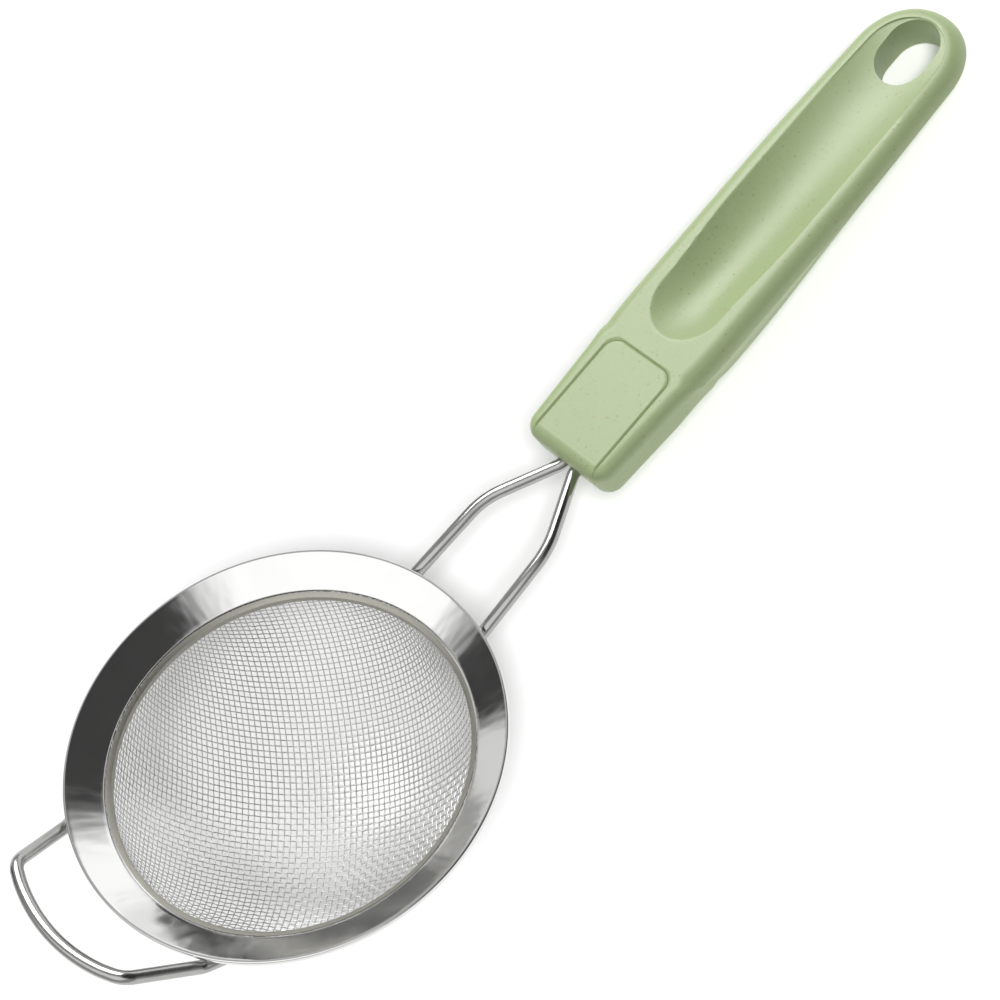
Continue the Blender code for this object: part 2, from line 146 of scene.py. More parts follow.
SCOOP_NOSE_WIDTH_SHARE = 0.88
SCOOP_NOSE_DEPTH_SHARE = 0.6
SCOOP_FADE_SHARE = 0.45
SCOOP_NOSE_RUN = 24 * MM
SCOOP_WIDEN_RUN = 25 * MM
SCOOP_FADE_START = 62 * MM
SCOOP_FADE_RUN = 45 * MM
SCOOP_RUN_OUT = 104 * MM
HOLE_CENTRE = 121 * MM
HOLE_HALF_LENGTH = 8.35 * MM
HOLE_HALF_WIDTH = 6.5 * MM
HOLE_SOFT_EDGE = 0.9 * MM
INSERT_LENGTH = 29.2 * MM
INSERT_HALF = 9.6 * MM
INSERT_DEPTH = 9.4 * MM
INSERT_CORNER = 3.6 * MM
GROOVE_WIDTH = 0.42 * MM
GROOVE_DEPTH = 0.3 * MM
SEAM = 0.04 * MM
GAP = 0.3 * MM

# How far cutters reach past what they cut, at their ends and above the handle.
BEYOND = 3 * MM
CUTTER_TOP = 6 * MM

# How finely turned pieces are divided round their axis, and the handle's mesh along the head's corner,
# the grip and the tip, and across.
TURNED_STEPS = 360
HEAD_STEPS = 9
GRIP_STEPS = 240
TIP_STEPS = 24
ACROSS = 72

# Camera in the strainer's frame: its place, what it looks along, which way is up, and the lens.
CAMERA_PLACE = (-64.4 * MM, -266.3 * MM, 433.5 * MM)
CAMERA_ALONG = (0.26129, 0.51789, -0.81457)
CAMERA_UP = (0.65074, 0.52877, 0.54492)
CAMERA_LENS = 84.35

# Studio. Bearings and elevations are in degrees, distances and sizes in metres. Each patch of the
# surroundings has a bearing, half width, softness, lowest and highest elevation, softness and
# brightness, and lies over the ones before it. Each softbox has a name, bearing, elevation, distance,
# width, height, power and whether it shows in reflections.
STUDIO_LEVEL = 0.5
STUDIO_PATCHES = (
    (-147, 87, 4, 40, 100, 5, 1.35),
    (-30, 45, 16, 9, 62, 5, 0.06),
    (23, 15, 3, -5, 9, 3, 1.3),
    (96, 9.5, 1.5, -12, 17, 1.5, 0.83),
    (113, 9, 2, 17, 38, 2, 0.055),
)
STUDIO_FILL = 0.47
STUDIO_LIGHTS = (
    ("key", 46, 46, 1.2, 0.8, 0.8, 10.8, True),
    ("side", 100, 28, 1.2, 0.6, 0.6, 1.8, False),
    ("back", 175, 20, 1.2, 0.6, 0.6, 1.2, False),
)

# The floor's own light, far off: its bearing, elevation, strength and spread.
FLOOR_LIGHT = (-85, 59, 2.5, 19)
FLOOR_GLOW = 0.1
FLOOR_HALF = 3.0

# A low dark card beside the bowl, seen only in reflections: the X, Y and height of its two ends.
FLAG_ENDS = ((40 * MM, 114 * MM, 46 * MM), (-69 * MM, 157 * MM, 25 * MM))
FLAG_THICK = 2 * MM

# Plastic of the handle: the two greens its colour drifts between.
PLASTIC_LOW = (0.305, 0.39, 0.187)
PLASTIC_HIGH = (0.33, 0.42, 0.202)


def strainer_frame():
    """The strainer's frame in the row frame, from the rim's box, which its bead alone sets."""
    low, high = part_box("rim_flange")
    tilt = math.acos(((high.x - low.x) / 2 - BEAD_RADIUS) / BEAD_CENTRE)
    top = high.z - BEAD_RADIUS - BEAD_CENTRE * math.sin(tilt)
    centre = Vector(((low.x + high.x) / 2, (low.y + high.y) / 2, top))
    return Matrix.Translation(centre) @ Matrix.Rotation(tilt, 4, "Y")


STRAINER = strainer_frame()
HEAD = Matrix.Translation((HANDLE_HEAD[0], 0, HANDLE_HEAD[1]))
HANDLE = STRAINER @ HEAD @ Matrix.Rotation(-HANDLE_PITCH, 4, "Y")


# Meshes ---------------------------------------------------------------------------------------------


def mesh_object(name, vertices, faces, sharp=35):
    """A smooth-shaded mesh whose edges sharper than an angle in degrees stay sharp."""
    data = bpy.data.meshes.new(name)
    data.from_pydata(np.asarray(vertices, float).tolist(), [], faces)
    made = bpy.data.objects.new(name, data)
    bpy.context.scene.collection.objects.link(made)
    shell = bmesh.new()
    shell.from_mesh(data)
    bmesh.ops.recalc_face_normals(shell, faces=shell.faces)
    shell.to_mesh(data)
    shell.free()
    data.shade_smooth()
    data.set_sharp_from_angle(angle=math.radians(sharp))
    return made


def finish_piece(made, look, nodes, place=STRAINER):
    """Puts a piece's mesh in its place, gives it its look, and lets it stand for its CAD nodes."""
    made.data.transform(place)
    made.data.materials.clear()
    made.data.materials.append(look)
    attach(made, "root")
    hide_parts(*nodes)
    return made


def turned(name, profile):
    """A closed profile of (radius, height) points, turned once round the Z axis."""
    count = len(profile)
    angles = np.linspace(0, 2 * math.pi, TURNED_STEPS, endpoint=False)
    r, z = np.array(profile).T
    x = np.cos(angles)[:, None] * r
    y = np.sin(angles)[:, None] * r
    vertices = np.stack([x, y, np.broadcast_to(z, x.shape)], axis=-1).reshape(-1, 3)
    faces = []
    for step in range(TURNED_STEPS):
        here = step * count
        there = (step + 1) % TURNED_STEPS * count
        for i in range(count):
            j = (i + 1) % count
            faces.append((here + i, here + j, there + j, there + i))
    return mesh_object(name, vertices, faces)


def arc(centre, radius, start, end, steps):
    """Points on a circle from one angle to another, both in degrees."""
    angles = np.radians(np.linspace(start, end, steps + 1))
    return [(centre[0] + radius * math.cos(a), centre[1] + radius * math.sin(a)) for a in angles]


def rounded_path(corners, radii, steps=16):
    """A path through 3-D corners, each rounded with its own radius."""
    corners = [np.array(c, float) for c in corners]
    path = [corners[0]]
    for i in range(1, len(corners) - 1):
        corner = corners[i]
        back = corners[i - 1] - corner
        ahead = corners[i + 1] - corner
        back_length = np.linalg.norm(back)
        ahead_length = np.linalg.norm(ahead)
        back /= back_length
        ahead /= ahead_length
        turn = math.acos(float(np.clip(back @ ahead, -1, 1)))
        reach = min(radii[i] / math.tan(turn / 2), 0.48 * back_length, 0.48 * ahead_length)
        radius = reach * math.tan(turn / 2)
        middle = (back + ahead) / np.linalg.norm(back + ahead)
        centre = corner + middle * math.hypot(radius, reach)
        first = corner + back * reach - centre
        last = corner + ahead * reach - centre
        sweep = math.acos(float(np.clip(first @ last / radius**2, -1, 1)))
        for k in range(steps + 1):
            share = k / steps
            blend = first * math.sin((1 - share) * sweep) + last * math.sin(share * sweep)
            path.append(centre + blend / math.sin(sweep))
    path.append(corners[-1])
    return path


def wire(name, path, radius, sides=32):
    """A round wire along a path, with softly rounded ends."""
    path = [np.array(p, float) for p in path]
    start = (path[0] - path[1]) / np.linalg.norm(path[0] - path[1])
    end = (path[-1] - path[-2]) / np.linalg.norm(path[-1] - path[-2])
    round_off = WIRE_END_ROUND * radius
    stations = []
    for share in (1.0, 0.7, 0.3):
        size = radius - round_off * (1 - math.sqrt(1 - share**2))
        stations.append((path[0] - start * round_off * (1 - share), size))
    stations += [(p, radius) for p in path[1:-1]]
    for share in (0.3, 0.7, 1.0):
        size = radius - round_off * (1 - math.sqrt(1 - share**2))
        stations.append((path[-1] - end * round_off * (1 - share), size))
    count = len(stations)
    side = None
    vertices = []
    for i in range(count):
        forward = stations[min(i + 1, count - 1)][0] - stations[max(i - 1, 0)][0]
        forward /= np.linalg.norm(forward)
        if side is None:
            side = np.cross(forward, (0, 0, 1))
        side = side - forward * (side @ forward)
        side /= np.linalg.norm(side)
        other = np.cross(forward, side)
        centre, size = stations[i]
        for k in range(sides):
            angle = 2 * math.pi * k / sides
            vertices.append(centre + size * (side * math.cos(angle) + other * math.sin(angle)))
    faces = [tuple(range(sides)), tuple(range(len(vertices) - sides, len(vertices)))]
    for i in range(count - 1):
        here = i * sides
        there = here + sides
        for k in range(sides):
            j = (k + 1) % sides
            faces.append((here + k, here + j, there + j, there + k))
    return mesh_object(name, vertices, faces, sharp=50)


def smooth_step(value):
    """0 up to 0, 1 from 1 on, and an even S between."""
    value = np.clip(value, 0, 1)
    return value * value * (3 - 2 * value)


# Woven bowl -----------------------------------------------------------------------------------------


def bowl_gap(p):
    """How far points are off the bowl's surface, as a share, and which way that grows."""
    r = np.hypot(p[:, 0], p[:, 1])
    below = np.minimum(p[:, 2] - BOWL_CENTRE_Z, 0)
    value = (r / BOWL_RADIUS) ** 2 + (below / BOWL_DROP) ** 2 - 1
    slope = np.stack(
        [2 * p[:, 0] / BOWL_RADIUS**2, 2 * p[:, 1] / BOWL_RADIUS**2, 2 * below / BOWL_DROP**2], axis=1
    )
    return value, slope


def bowl_normal(p):
    """Unit vectors straight out of the bowl."""
    slope = bowl_gap(p)[1]
    return slope / np.linalg.norm(slope, axis=1)[:, None]


def meridian(count, angle):
    """Points on the bowl straight up from its pole, each one mesh pitch from the last."""
    points = [np.array([0.0, 0.0, BOWL_CENTRE_Z - BOWL_DROP])]
    swing = 0.0
    for _ in range(count - 1):
        here = points[-1]
        low, high = swing, swing + 0.2
        for _ in range(40):
            middle = (low + high) / 2
            if middle < math.pi / 2:
                r = BOWL_RADIUS * math.sin(middle)
                z = BOWL_CENTRE_Z - BOWL_DROP * math.cos(middle)
            else:
                r = BOWL_RADIUS
                z = BOWL_CENTRE_Z + BOWL_RADIUS * (middle - math.pi / 2)
            there = np.array([r * math.cos(angle), r * math.sin(angle), z])
            if np.linalg.norm(there - here) < MESH_PITCH:
                low = middle
            else:
                high = middle
        swing = middle
        points.append(there)
    return np.array(points)


def net_quarter(count, first_angle, second_angle):
    """A quarter of the net: a grid of crossings, all cells with sides one mesh pitch long."""
    net = np.full((count, count, 3), np.nan)
    net[:, 0] = meridian(count, first_angle)
    net[0, :] = meridian(count, second_angle)
    for total in range(2, 2 * count - 1):
        i = np.arange(max(1, total - count + 1), min(count, total))
        j = total - i
        a, b, c = net[i - 1, j], net[i, j - 1], net[i - 1, j - 1]
        p = a + b - c
        for _ in range(12):
            off, slope = bowl_gap(p)
            to_a, to_b = p - a, p - b
            rows = np.stack([2 * to_a, 2 * to_b, slope * BOWL_RADIUS], axis=1)
            miss = np.stack(
                [
                    (to_a**2).sum(1) - MESH_PITCH**2,
                    (to_b**2).sum(1) - MESH_PITCH**2,
                    off * BOWL_RADIUS,
                ],
                axis=1,
            )
            good = np.isfinite(rows).all(axis=(1, 2))
            rows[~good] = np.eye(3)
            miss[~good] = 0
            flat = np.abs(np.linalg.det(rows)) < 1e-12
            rows[flat] = np.eye(3)
            miss[flat] = np.nan
            p = p - np.linalg.solve(rows, miss[..., None])[..., 0]
        lost = (np.abs(bowl_gap(p)[0]) > 1e-6) | (p[:, 2] > NET_TOP_Z)
        p[lost] = np.nan
        net[i, j] = p
    return net


def whole_net(count):
    """The four quarters joined: net[i, j] with the pole in the middle."""
    size = 2 * count - 1
    net = np.full((size, size, 3), np.nan)
    middle = count - 1
    for way_i, way_j in ((1, 1), (-1, 1), (-1, -1), (1, -1)):
        first = MESH_TURN + (0 if way_i > 0 else math.pi)
        second = MESH_TURN + (1 if way_j > 0 else -1) * math.pi / 2
        part = net_quarter(count, first, second)
        i = middle + way_i * np.arange(count)
        j = middle + way_j * np.arange(count)
        net[np.ix_(i, j)] = part
    return net


def woven_strand(row, parity):
    """Centre line of one crimped wire through a row of crossings, cut off at the mesh's edge."""
    inside = np.isfinite(row[:, 2]) & (np.nan_to_num(row[:, 2], nan=1.0) < MESH_EDGE_Z)
    found = np.flatnonzero(inside)
    if len(found) < 3:
        return None
    first, last = found[0], found[-1]
    nodes = row[first : last + 1]
    if not np.isfinite(nodes).all():
        return None
    offset = MESH_CRIMP * np.where((np.arange(first, last + 1) + parity) % 2 == 0, 1.0, -1.0)
    for end, beyond in ((0, first - 1), (-1, last + 1)):
        if 0 <= beyond < len(row) and np.isfinite(row[beyond]).all():
            share = (MESH_EDGE_Z - nodes[end, 2]) / (row[beyond, 2] - nodes[end, 2])
            if 0.15 < share < 1:
                extra = nodes[end] + share * (row[beyond] - nodes[end])
                spot = 0 if end == 0 else len(nodes)
                shift = offset[end] * math.cos(math.pi * share)
                nodes = np.insert(nodes, spot, extra, axis=0)
                offset = np.insert(offset, spot, shift)
    middles = (nodes[1:] + nodes[:-1]) / 2
    line = np.empty((2 * len(nodes) - 1, 3))
    line[0::2] = nodes
    line[1::2] = middles
    lift = np.empty(len(line))
    lift[0::2] = offset
    lift[1::2] = (offset[1:] + offset[:-1]) / 2
    normal = bowl_normal(line)
    return line + normal * lift[:, None], normal


def woven_piece(name, net, along_first, sides=6):
    """All the wires of the net that run one way, as one piece."""
    vertices = []
    faces = []
    total = 0
    ring = 2 * math.pi * np.arange(sides) / sides
    for k in range(net.shape[0]):
        row = net[:, k] if along_first else net[k, :]
        strand = woven_strand(row, k + (0 if along_first else 1))
        if strand is None:
            continue
        line, normal = strand
        forward = np.gradient(line, axis=0)
        forward /= np.linalg.norm(forward, axis=1)[:, None]
        side = np.cross(forward, normal)
        side /= np.linalg.norm(side, axis=1)[:, None]
        up = np.cross(side, forward)
        tube = (
            line[:, None]
            + MESH_WIRE * np.cos(ring)[None, :, None] * side[:, None]
            + MESH_WIRE * np.sin(ring)[None, :, None] * up[:, None]
        )
        vertices.append(tube.reshape(-1, 3))
        count = len(line)
        for i in range(count - 1):
            here = total + i * sides
            for m in range(sides):
                n = (m + 1) % sides
                faces.append((here + m, here + n, here + sides + n, here + sides + m))
        faces.append(tuple(total + m for m in range(sides)))
        faces.append(tuple(total + (count - 1) * sides + m for m in reversed(range(sides))))
        total += count * sides
    return mesh_object(name, np.concatenate(vertices), faces, sharp=60)


# Handle ---------------------------------------------------------------------------------------------


def grip_share(s, depth):
    """0 on the square neck, 1 on the rounded grip; the crease between them leans back going down."""
    line = CREASE_START + CREASE_LEAN * np.minimum(depth, CREASE_DEPTH)
    return smooth_step((s - line) / CREASE_SOFTNESS + 0.5)


def half_width(s):
    """Half the width at a station, from the flaring neck to the grip and in again to the tip."""
    neck = HEAD_WIDTH + NECK_FLARE * s
    to_tip = smooth_step((s - NARROW_START) / (HANDLE_LENGTH - NARROW_START))
    grip = GRIP_WIDTH + (TIP_WIDTH - GRIP_WIDTH) * to_tip
    share = smooth_step((s - WIDEN_START) / WIDEN_RUN)
    return neck * (1 - share) + grip * share


def depth_at(s):
    """Depth at a station: it swells from the neck into the grip, then tapers to the tip."""
    swell = smooth_step((s - SWELL_START) / SWELL_RUN)
    taper = smooth_step((s - TAPER_START) / TAPER_RUN)
    return NECK_DEPTH + (GRIP_DEPTH - NECK_DEPTH) * swell + (TIP_DEPTH - GRIP_DEPTH) * taper


def plan_scale(s):
    """How much of the width is left as the tip rounds off."""
    past = max(0.0, (s - (HANDLE_LENGTH - TIP_LENGTH)) / TIP_LENGTH)
    return max(0.0, 1 - past**PLAN_POWER) ** (1 / PLAN_POWER)


def head_inset(s):
    """How much the rounded corner at the head end takes off the half width."""
    if s >= HEAD_CORNER:
        return 0.0
    return HEAD_CORNER - math.sqrt(HEAD_CORNER**2 - (HEAD_CORNER - s) ** 2)


def scoop_drop(s, v):
    """Depth of the thumb scoop below the top face: a trough with a round nose, gone at the hole."""
    nose_centre = SCOOP_START + SCOOP_NOSE
    widen = smooth_step((s - nose_centre) / SCOOP_WIDEN_RUN)
    width = SCOOP_HALF * (SCOOP_NOSE_WIDTH_SHARE + (1 - SCOOP_NOSE_WIDTH_SHARE) * widen)
    along = min(0.0, (s - nose_centre) / SCOOP_NOSE)
    past = max(0.0, (s - SCOOP_RUN_OUT) / (SCOOP_END - SCOOP_RUN_OUT))
    reach = math.sqrt(along**2 + (v / width) ** 2)
    if reach >= 1 or past >= 1:
        return 0.0
    deepen = smooth_step((s - SCOOP_START) / SCOOP_NOSE_RUN)
    nose = SCOOP_NOSE_DEPTH_SHARE + (1 - SCOOP_NOSE_DEPTH_SHARE) * deepen
    fade = 1 - SCOOP_FADE_SHARE * smooth_step((s - SCOOP_FADE_START) / SCOOP_FADE_RUN)
    return SCOOP_DEPTH * nose * fade * (1 - past**2) * (1 - reach**2)


def wall_level(depth, top_round, low_round, slant):
    """Inset and drop of each level of a side wall, from the top face down to the underside."""
    levels = []
    for angle in np.radians(np.linspace(0, 90, 9)):
        levels.append((top_round * (1 - math.sin(angle)), top_round * (1 - math.cos(angle))))
    wall_foot = depth - low_round
    for share in np.linspace(0, 1, 9)[1:-1]:
        levels.append((slant * share, top_round + (wall_foot - top_round) * share))
    for angle in np.radians(np.linspace(0, 90, 9)):
        inset = slant + low_round * (1 - math.cos(angle))
        levels.append((inset, wall_foot + low_round * math.sin(angle)))
    return np.array(levels)


def level_profile(s):
    """The side wall at a station: square on the neck, sloping and rounded on the grip."""
    depth = depth_at(s)
    blend = smooth_step((s - NECK_EASE_START) / NECK_EASE_RUN)
    low_round = NECK_LOW_ROUND + NECK_LOW_ROUND_GAIN * blend
    slant = NECK_SLANT + NECK_SLANT_GAIN * blend
    neck = wall_level(depth, NECK_TOP_ROUND, low_round, slant)
    grip = wall_level(depth, GRIP_TOP_ROUND, GRIP_LOW_ROUND, GRIP_SLANT)
    share = grip_share(s, neck[:, 1])[:, None]
    return neck * (1 - share) + grip * share


def stations():
    """Where along the handle its mesh is divided, closer together at both ends."""
    quarter = math.pi / 2
    head = [HEAD_CORNER * (1 - math.cos(quarter * k / HEAD_STEPS)) for k in range(HEAD_STEPS)]
    tip_start = HANDLE_LENGTH - TIP_LENGTH
    grip = list(np.linspace(HEAD_CORNER, tip_start, GRIP_STEPS + 1))[:-1]
    tip = [tip_start + TIP_LENGTH * math.sin(quarter * k / TIP_STEPS) for k in range(TIP_STEPS + 1)]
    return head + grip + tip


def side_reach(s):
    """Half the handle's width, its rounded ends taken into account."""
    return (half_width(s) - head_inset(s)) * plan_scale(s)


def handle_blank():
    """The handle without its hole and its insert, as vertices and faces."""
    places = stations()
    last = len(places) - 1
    levels = len(level_profile(0))
    profiles = [level_profile(s) for s in places]
    rings = []
    for level in range(levels):
        right = []
        for k, s in enumerate(places):
            inset, drop = profiles[k][level]
            before = places[max(k - 1, 0)]
            after = places[min(k + 1, last)]
            run = after - before
            rise = side_reach(after) - side_reach(before)
            length = math.hypot(run, rise)
            normal = (-rise / length, run / length)
            if k == last:
                normal = (1.0, 0.0)
            if k == 0:
                normal = (-1.0, 0.0)
            right.append((s - normal[0] * inset, -side_reach(s) + normal[1] * inset, -drop))
        left = [(s, -v, w) for s, v, w in right[:-1]]
        s, v, w = right[0]
        end_row = [(s, v * (1 - 2 * m / ACROSS), w) for m in range(ACROSS - 1, 0, -1)]
        rings.append(right + left[::-1] + end_row)
    count = len(rings[0])
    vertices = [p for ring in rings for p in ring]
    faces = []
    for level in range(levels - 1):
        for i in range(count):
            j = (i + 1) % count
            here = level * count
            there = here + count
            faces.append((here + i, here + j, there + j, there + i))
    for level, scooped in ((0, True), (levels - 1, False)):
        base = level * count
        rows = []
        for k in range(last):
            right = base + k
            left = base + 2 * last - k
            row = [right]
            for m in range(1, ACROSS):
                if k == 0:
                    row.append(base + count - m)
                    continue
                a = np.array(vertices[right])
                b = np.array(vertices[left])
                point = a + (b - a) * m / ACROSS
                if scooped:
                    point[2] -= scoop_drop(point[0], point[1])
                row.append(len(vertices))
                vertices.append(tuple(point))
            rows.append(row + [left])
        for near, far in zip(rows, rows[1:]):
            for m in range(ACROSS):
                faces.append((near[m], far[m], far[m + 1], near[m + 1]))
        tip = base + last
        for m in range(ACROSS):
            faces.append((rows[-1][m], tip, rows[-1][m + 1]))
    return vertices, faces


def socket_outline(length, half, flare):
    """A plan outline open at the head end, its far corners rounded, its mouth flared or pinched."""
    corner = INSERT_CORNER
    ahead = length - corner
    side = half - corner
    points = [(-BEYOND, -half - flare), (0.0, -half - flare), (abs(flare), -half)]
    points += arc((ahead, -side), corner, -90, 0, 12)
    points += arc((ahead, side), corner, 0, 90, 12)
    return points + [(abs(flare), half), (0.0, half + flare), (-BEYOND, half + flare)]


def obround(centre, half_length, end_radius):
    """An outline with straight sides and round ends."""
    run = half_length - end_radius
    points = arc((centre + run, 0), end_radius, -90, 90, 32)
    return points + arc((centre - run, 0), end_radius, 90, 270, 32)


def stacked(name, layers):
    """A solid through a stack of plan outlines with the same number of points, from low to high."""
    count = len(layers[0][1])
    vertices = [(x, y, w) for w, outline in layers for x, y in outline]
    top = len(layers) - 1
    faces = [tuple(range(count - 1, -1, -1)), tuple(range(top * count, (top + 1) * count))]
    for level in range(top):
        for i in range(count):
            j = (i + 1) % count
            here = level * count
            faces.append((here + i, here + j, here + count + j, here + count + i))
    return mesh_object(name, vertices, faces)


def apply_cut(target, cutter, operation):
    """Applies a Boolean to the target's mesh and removes the cutter."""
    modifier = target.modifiers.new("cut", "BOOLEAN")
    modifier.operation = operation
    modifier.solver = "EXACT"
    modifier.object = cutter
    bpy.context.view_layer.update()
    graph = bpy.context.evaluated_depsgraph_get()
    data = bpy.data.meshes.new_from_object(target.evaluated_get(graph))
    target.modifiers.clear()
    target.data = data
    bpy.data.objects.remove(cutter, do_unlink=True)


def hole_cutter():
    """Obround hole with a soft upper edge."""
    soft = HOLE_SOFT_EDGE
    layers = [(-TIP_DEPTH - BEYOND, 0.0)]
    for angle in np.radians(np.linspace(0, 80, 7)):
        layers.append((-soft * (1 - math.sin(angle)), soft * (1 - math.cos(angle))))
    layers.append((BEYOND, soft))
    outlines = [(w, obround(HOLE_CENTRE, HOLE_HALF_LENGTH + g, HOLE_HALF_WIDTH + g)) for w, g in layers]
    return stacked("hole_cutter", outlines)


def handle_point(s, v, w):
    """A point of the handle's own frame, in the strainer's frame."""
    c = math.cos(HANDLE_PITCH)
    d = math.sin(HANDLE_PITCH)
    return np.array([HANDLE_HEAD[0] + s * c - w * d, v, HANDLE_HEAD[1] + s * d + w * c])


def handle_wire_leg():
    """One leg of the handle wire, from its weld under the rim to where it is buried in the handle."""
    weld = np.array([math.sqrt(BEAD_CENTRE**2 - HANDLE_WIRE_WELD_Y**2), HANDLE_WIRE_WELD_Y, WELD_Z])
    bend = np.array(HANDLE_WIRE_BEND)
    inward = (weld - bend) / np.linalg.norm(weld - bend)
    start = weld + inward * HANDLE_WELD_RUN
    mouth = handle_point(-MOUTH_BEFORE, HANDLE_WIRE_PINCH, -WIRE_DROP)
    parallel = handle_point(HANDLE_WIRE_BURIED, HANDLE_WIRE_PINCH, -WIRE_DROP)
    radii = [0, HANDLE_WIRE_BEND_RADIUS, MOUTH_BEND_RADIUS, 0]
    return rounded_path([start, bend, mouth, parallel], radii)


def rest_path():
    """The rest's whole centre line: a leg out from under the rim, the bowed front, and the other leg."""
    along, across = math.cos(REST_WELD_ANGLE), math.sin(REST_WELD_ANGLE)
    weld = np.array([-BEAD_CENTRE * along, BEAD_CENTRE * across, WELD_Z])
    corner = np.array(REST_CORNER)
    outward = (corner - weld) * np.array([1, 1, 0])
    outward /= np.linalg.norm(outward)
    start = weld - outward * REST_WELD_RUN - np.array([0, 0, REST_WELD_DIP])
    elbow = weld + outward * REST_WELD_RUN
    bow = corner[0] - REST_FRONT[0]
    radius = (corner[1] ** 2 + bow**2) / (2 * bow)
    sweep = math.asin(corner[1] / radius)
    front = []
    steps = 24
    corner_steps = 3
    for k in range(corner_steps, steps - corner_steps + 1):
        share = 2 * k / steps - 1
        height = REST_FRONT[1] + (corner[2] - REST_FRONT[1]) * share**2
        x = REST_FRONT[0] + radius * (1 - math.cos(sweep * share))
        front.append(np.array([x, -radius * math.sin(sweep * share), height]))
    radii = [0, REST_ELBOW_RADIUS, REST_BEND_RADIUS, 0]
    leg = rounded_path([start, elbow, corner, front[0]], radii)[:-1]
    return leg + front + [p * np.array([1, -1, 1]) for p in leg[::-1]]


# Materials ------------------------------------------------------------------------------------------


def new_material(name):
    """A new material, its node tree and its main shader."""
    made = bpy.data.materials.new(name)
    made.use_nodes = True
    return made, made.node_tree, made.node_tree.nodes["Principled BSDF"]


def node(tree, kind, **settings):
    """A new node, with each setting put on the input of that name, or else on the node itself."""
    made = tree.nodes.new(kind)
    for key, value in settings.items():
        if key in made.inputs:
            made.inputs[key].default_value = value
        else:
            setattr(made, key, value)
    return made


def noise(tree, vector, detail):
    """Smooth noise that varies over about one unit of its coordinates, with finer detail added."""
    made = node(tree, "ShaderNodeTexNoise", Scale=1.0, Detail=detail, Roughness=0.5)
    tree.links.new(vector, made.inputs["Vector"])
    return made.outputs["Fac"]


def worked(tree, operation, first, second=None):
    """The output of a maths node fed by sockets or by plain numbers."""
    made = node(tree, "ShaderNodeMath", operation=operation)
    for place, value in enumerate((first, second)):
        if isinstance(value, (int, float)):
            made.inputs[place].default_value = value
        elif value is not None:
            tree.links.new(value, made.inputs[place])
    return made.outputs[0]


def remap(tree, value, low, high, to_low, to_high):
    """A value's range from low to high, stretched onto another range."""
    made = node(tree, "ShaderNodeMapRange")
    for key, number in (("From Min", low), ("From Max", high), ("To Min", to_low), ("To Max", to_high)):
        made.inputs[key].default_value = number
    tree.links.new(value, made.inputs["Value"])
    return made.outputs["Result"]


def frame_coordinates(tree, place):
    """Coordinates in metres in a frame of the object, such as the strainer's."""
    source = node(tree, "ShaderNodeTexCoord")
    mapping = node(tree, "ShaderNodeMapping", vector_type="TEXTURE")
    mapping.inputs["Location"].default_value = place.to_translation()
    mapping.inputs["Rotation"].default_value = place.to_euler()
    tree.links.new(source.outputs["Object"], mapping.inputs["Vector"])
    return mapping.outputs["Vector"]


def stretched(tree, scale, place=STRAINER):
    """Coordinates of a frame, scaled by axis."""
    mapping = node(tree, "ShaderNodeMapping")
    mapping.inputs["Scale"].default_value = scale
    tree.links.new(frame_coordinates(tree, place), mapping.inputs["Vector"])
    return mapping.outputs["Vector"]


def round_coordinates(tree, around, across):
    """Coordinates (angle, radius, height) round the rim's axis, scaled, for marks left by spinning."""
    split = node(tree, "ShaderNodeSeparateXYZ")
    tree.links.new(frame_coordinates(tree, STRAINER), split.inputs[0])
    x, y, z = split.outputs
    angle = worked(tree, "ARCTAN2", y, x)
    squares = worked(tree, "ADD", worked(tree, "MULTIPLY", x, x), worked(tree, "MULTIPLY", y, y))
    radius = worked(tree, "SQRT", squares)
    joined = node(tree, "ShaderNodeCombineXYZ")
    for place, (source, factor) in enumerate(((angle, around), (radius, across), (z, across))):
        tree.links.new(worked(tree, "MULTIPLY", source, factor), joined.inputs[place])
    return joined.outputs[0]


def bump(tree, shader, layers):
    """Chains bump layers of (height, strength, distance) into the shader's normal."""
    last = None
    for height, strength, distance in layers:
        made = node(tree, "ShaderNodeBump", Strength=strength, Distance=distance)
        tree.links.new(height, made.inputs["Height"])
        if last is not None:
            tree.links.new(last, made.inputs["Normal"])
        last = made.outputs["Normal"]
    tree.links.new(last, shader.inputs["Normal"])


def tint(tree, shader, factor, low, high):
    """Base colour between two colours, by a factor; also returned, for more to be laid over it."""
    made = node(tree, "ShaderNodeMix", data_type="RGBA")
    made.inputs[6].default_value = (*low, 1)
    made.inputs[7].default_value = (*high, 1)
    tree.links.new(factor, made.inputs[0])
    tree.links.new(made.outputs[2], shader.inputs["Base Color"])
    return made.outputs[2]


def polished_steel():
    """Bright steel with slow waves, fine spinning lines and faint smudges."""
    made, tree, shader = new_material("polished_steel_look")
    shader.inputs["Metallic"].default_value = 1.0
    waves = noise(tree, round_coordinates(tree, 7, 60), 2.0)
    lines = noise(tree, round_coordinates(tree, 1.5, 9000), 3.0)
    smudge = noise(tree, stretched(tree, (90, 90, 90)), 3.0)
    tint(tree, shader, smudge, (0.70, 0.70, 0.69), (0.78, 0.78, 0.77))
    rough = remap(tree, smudge, 0.3, 0.7, 0.07, 0.14)
    tree.links.new(rough, shader.inputs["Roughness"])
    bump(tree, shader, [(waves, 0.25, 0.0006), (lines, 0.05, 0.00002)])
    return made


